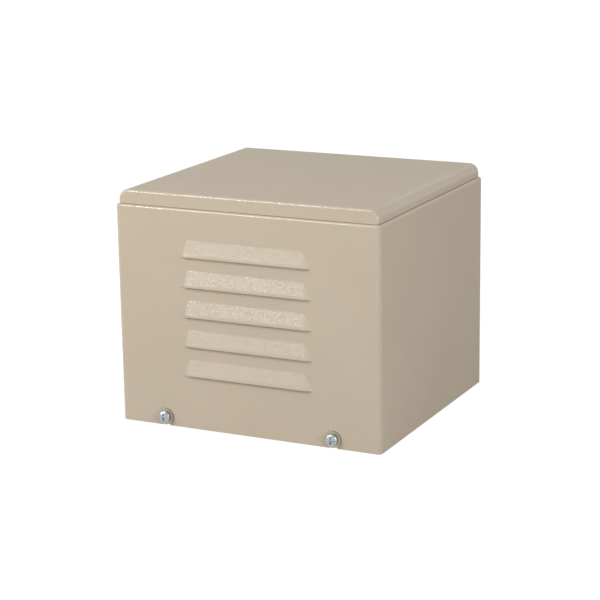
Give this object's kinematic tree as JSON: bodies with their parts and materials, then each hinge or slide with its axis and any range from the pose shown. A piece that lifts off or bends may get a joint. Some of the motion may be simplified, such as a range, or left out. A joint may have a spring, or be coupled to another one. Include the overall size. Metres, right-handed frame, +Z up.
{
  "type": "transformer enclosure",
  "caption": "Louvred sheet-steel hood with a raised lid that lifts off a screwed base tray, which carries slotted rails, an earth stud and cable grommets for a transformer.",
  "frame": {"origin": "middle of the base tray's underside, on the surface that the enclosure stands on", "axes": "+Z up, -Y towards the louvred front, +X to the right seen from the front"},
  "size_m": [0.21, 0.205, 0.175],
  "materials": {
    "powder_coat": "beige powder coat with a fine orange-peel texture",
    "zinc_plate": "bright zinc plating",
    "galvanised": "matt galvanised strip",
    "rubber": "black moulded rubber"
  },
  "bodies": {
    "base": {"base_tray": "powder_coat", "cover_screws": "zinc_plate", "cover_washers": "zinc_plate", "clinch_nuts": "zinc_plate", "rail_front": "galvanised", "rail_rear": "galvanised", "floor_studs": "zinc_plate", "rail_nuts": "zinc_plate", "earth_stud": "zinc_plate", "earth_washer": "zinc_plate", "earth_tooth_washer": "zinc_plate", "earth_nut": "zinc_plate", "entry_plate": "powder_coat", "entry_rivets": "zinc_plate", "grommet_left": "rubber", "grommet_right": "rubber"},
    "cover": {"hood": "powder_coat", "roof_lid": "powder_coat", "lid_studs": "zinc_plate", "lid_spacers": "zinc_plate", "lid_nuts": "zinc_plate"}
  },
  "joints": [
    {"name": "hood_lift", "type": "slide", "parent": "base", "child": "cover", "axis": [0, 0, 1], "range_m": [0, 0.2]}
  ]
}
